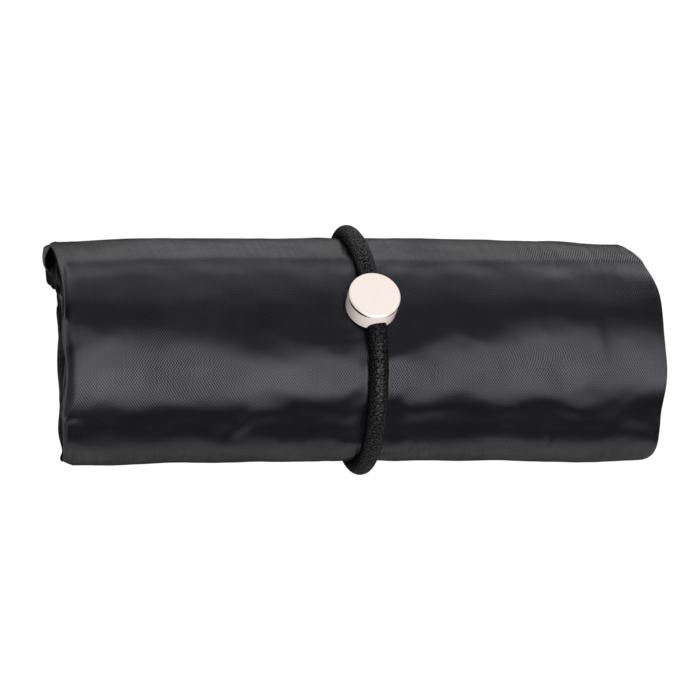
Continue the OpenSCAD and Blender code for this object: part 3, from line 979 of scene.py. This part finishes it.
def painted_dark_reflection_under_rim(shader):
    """A thin dark line painted on the bead's side, just under its rim, on the lower left and lower right,
    as a painted reflection of the dark surroundings.
    """
    centre, turn = bead_axes()
    place = shader.coords("Object")

    def along(axis):
        """The distance from the bead's centre along one of its axes, in millimetres."""
        direction = turn @ Vector(axis)
        dot = shader.node("ShaderNodeVectorMath", operation="DOT_PRODUCT")
        dot.inputs[1].default_value = direction / MM
        shader.link(place, dot.inputs[0])
        return shader.math("SUBTRACT", dot.outputs["Value"], centre @ direction)

    sideways = shader.remap(shader.math("ABSOLUTE", along((1, 0, 0))), LINE_SIDEWAYS, kind="SMOOTHSTEP")
    downward = shader.remap(along((0, -1, 0)), LINE_DOWNWARD, kind="SMOOTHSTEP")
    width = shader.math("MULTIPLY", shader.math("MULTIPLY", sideways, downward), LINE_WIDTH)
    off = shader.math("ABSOLUTE", shader.math("SUBTRACT", along((0, 0, 1)), LINE_HEIGHT))
    line = shader.remap(shader.math("SUBTRACT", width, off), LINE_EDGE, kind="SMOOTHSTEP")
    # Mixes the painted dark reflection into the bead's colour
    base = shader.out.inputs["Base Color"]
    mix = shader.node("ShaderNodeMixRGB", Color2=PAINTED_REFLECTION_COLOR)
    shader.link(line, mix.inputs["Fac"])
    shader.link(base.links[0].from_socket, mix.inputs["Color1"])
    shader.link(mix.outputs["Color"], base)


def bead_profile():
    """The disc's outline, as (radius, height), from its face round the rim to its back."""
    rim, back_rim, steps = 0.62, 0.45, 7
    front, back = [(BEAD_R * 0.5, BEAD_FRONT)], []
    for k in range(steps + 1):
        s, c = math.sin(math.pi / 2 * k / steps), math.cos(math.pi / 2 * k / steps)
        front.append((BEAD_R - rim + rim * s, BEAD_FRONT - rim + rim * c))
        back.append((BEAD_R - back_rim + back_rim * c, -BEAD_BACK + back_rim - back_rim * s))
    return front + [(BEAD_R, (BEAD_FRONT - BEAD_BACK) / 2)] + back + [(BEAD_R * 0.5, -BEAD_BACK)]


def turned_disc(name, profile, material, segments=160):
    """A disc turned from its profile, closed at both faces, at the bead's place."""
    turn = np.linspace(0, 2 * math.pi, segments, endpoint=False)
    radius, height = np.array(profile).T[:, :, None]
    ring = np.stack(np.broadcast_arrays(radius * np.cos(turn), radius * np.sin(turn), height), -1)
    verts = np.concatenate([ring.reshape(-1, 3), [[0, 0, BEAD_FRONT], [0, 0, -BEAD_BACK]]])
    faces = grid_faces(len(profile), segments, around=True)[:, [0, 3, 2, 1]].tolist()
    front, back = len(verts) - 2, len(verts) - 1
    last_ring = (len(profile) - 1) * segments
    for k in range(segments):
        after = (k + 1) % segments
        faces.append((front, k, after))
        faces.append((back, last_ring + after, last_ring + k))
    centre, basis = bead_axes()
    return face_object(name, verts @ np.array(basis).T + np.array(centre), faces, material)


def bead_channel(sides=64):
    """A bent rod along the cord, which cuts the bead's channel."""
    arc = np.radians(np.linspace(BEAD_ANGLE - 30, BEAD_ANGLE + 30, 41))
    path = on_cord_plane(0.0, LOOP_R * np.cos(arc), LOOP_R * np.sin(arc))
    points, quads = tube(path, BEAD_BORE_R, sides)
    caps = [list(range(sides))[::-1], list(range(len(points) - sides, len(points)))]
    mesh = bpy.data.meshes.new("bead_channel")
    mesh.from_pydata((points * MM).tolist(), [], quads.tolist() + caps)
    rod = bpy.data.objects.new("bead_channel", mesh)
    bpy.context.scene.collection.objects.link(rod)
    return rod


def bead():
    """A thick disc with a rounded rim, and a channel for the cord that opens at its back."""
    disc = turned_disc("bead_disc", bead_profile(), ROSE.material)
    rod = bead_channel()
    cut = disc.modifiers.new("channel", "BOOLEAN")
    cut.object = rod
    cut.solver = "EXACT"
    break_edges(disc, 0.22, 3, 38)
    apply_modifiers(disc)
    bpy.data.objects.remove(rod)
    shade_by_angle(disc, 30)
    stand_in(disc, "bead", "bead")


painted_dark_reflection_under_rim(ROSE)
bead()

# -------------------- floor, light and camera

AIM = Vector((-0.85 * MM, 0, AXIS_Z * MM))
CAMERA_DISTANCE = 0.53
CAMERA_TILT = math.radians(11.8)
LENS = 96.0


def glow_sheet(name, z, profile, gain, front_dimming=0.0):
    """A round stage sheet that glows by a profile of (distance in metres, strength) times a gain.

    The distance is from a rod along X as long as the roll. The front, towards -Y, can be dimmer."""
    rings = np.array([0.0, 0.03, 0.06, 0.1, 0.15, 0.2, 0.3, 0.45, 0.7, 1.2, 2.5])[:, None] / MM
    turn = np.linspace(0, 2 * math.pi, 96, endpoint=False)
    points = np.stack(np.broadcast_arrays(rings * np.cos(turn), rings * np.sin(turn), z), -1)
    shader = Shader(name, (0, 0, 0), 0.9, Specular_IOR_Level=0)
    parts = shader.split(shader.coords("Object"))
    beyond = shader.math("SUBTRACT", shader.math("ABSOLUTE", parts["X"]), HALF * MM)
    beyond = shader.math("POWER", shader.math("MAXIMUM", beyond, 0.0), 2.0)
    far = shader.math("SQRT", shader.math("ADD", beyond, shader.math("POWER", parts["Y"], 2.0)))
    reach = profile[-1][0]
    ramp = shader.node("ShaderNodeFloatCurve")
    curve = ramp.mapping.curves[0]
    for distance, strength in profile[1:-1]:
        curve.points.new(distance / reach, strength)
    curve.points[0].location = (0, profile[0][1])
    curve.points[-1].location = (1, profile[-1][1])
    ramp.mapping.update()
    shader.link(shader.math("DIVIDE", far, reach), ramp.inputs["Value"])
    dimmed = shader.remap(parts["Y"], (-0.05, 0.05), (1 - front_dimming, 1.0))
    glow = shader.math("MULTIPLY", shader.math("MULTIPLY", ramp.outputs["Value"], dimmed), gain)
    shader.out.inputs["Emission Color"].default_value = (1, 1, 1, 1)
    shader.link(glow, shader.out.inputs["Emission Strength"])
    sheet = grid_object(name, points, shader.material, around=True)
    return sheet


def floor():
    """A pale light table. What shines back from it on the cloth is dimmer close to the roll, where the
    roll shades it, so a second sheet stands for it in reflections."""
    table = glow_sheet("table_top", -0.02, ((0, 0.95), (1.0, 0.95), (2.5, 0.95)), 1.1)
    table.visible_glossy = False
    table.visible_diffuse = False
    shaded = ((0, 0.01), (0.034, 0.03), (0.055, 0.2), (0.076, 0.44), (0.098, 0.62), (0.2, 0.95), (0.8, 0.7))
    # Towards the front the glow is dimmer still, which is painted shade for the darker floor on that side
    reflection = glow_sheet("table_reflection", -0.3, shaded, 1.8, front_dimming=0.56)
    reflection.visible_camera = False
    reflection.visible_shadow = False


def area_light(name, direction, distance, size, radiance):
    """A soft box that faces the object, given by the direction it stands in and its radiance."""
    data = bpy.data.lights.new(name, "AREA")
    data.shape = "RECTANGLE"
    data.size, data.size_y = size
    data.energy = radiance * math.pi * size[0] * size[1]
    obj = bpy.data.objects.new(name, data)
    away = Vector(direction).normalized()
    obj.location = AIM + away * distance
    obj.rotation_euler = (-away).to_track_quat("-Z", "Y").to_euler()
    bpy.context.scene.collection.objects.link(obj)


def leaning(degrees, aside=0.0):
    """A direction that leans by some degrees from straight up towards +Y."""
    return aside, math.sin(math.radians(degrees)), math.cos(math.radians(degrees))


def lights():
    # Each by its direction, its distance and size in metres, and its radiance
    area_light("overhead_softbox", leaning(-27, 0.06), 0.9, (1.25, 1.1), 3.1)
    area_light("back_card", leaning(69), 0.9, (1.6, 0.68), 0.95)
    area_light("fill_card", leaning(31), 0.95, (1.6, 0.42), 0.45)
    for side in (-1, 1):
        area_light("end_card", (side, 0, 0.05), 0.9, (1.0, 0.3), 0.32)
    world = bpy.data.worlds.new("studio")
    world.use_nodes = True
    background = world.node_tree.nodes["Background"].inputs
    background["Color"].default_value = (1, 1, 1, 1)
    background["Strength"].default_value = 0.03
    bpy.context.scene.world = world


def camera():
    data = bpy.data.cameras.new("camera")
    data.lens = LENS
    data.sensor_width = 36.0
    data.clip_start, data.clip_end = 0.01, 20
    obj = bpy.data.objects.new("camera", data)
    c, s = math.cos(CAMERA_TILT), math.sin(CAMERA_TILT)
    right, up, back = Vector((c, 0, s)), Vector((0, 1, 0)), Vector((-s, 0, c))
    turn = Matrix((right, up, back)).transposed().to_4x4()
    obj.matrix_world = Matrix.Translation(AIM + back * CAMERA_DISTANCE) @ turn
    bpy.context.scene.collection.objects.link(obj)
    bpy.context.scene.camera = obj


floor()
lights()
camera()
bpy.context.scene.view_settings.view_transform = "Standard"
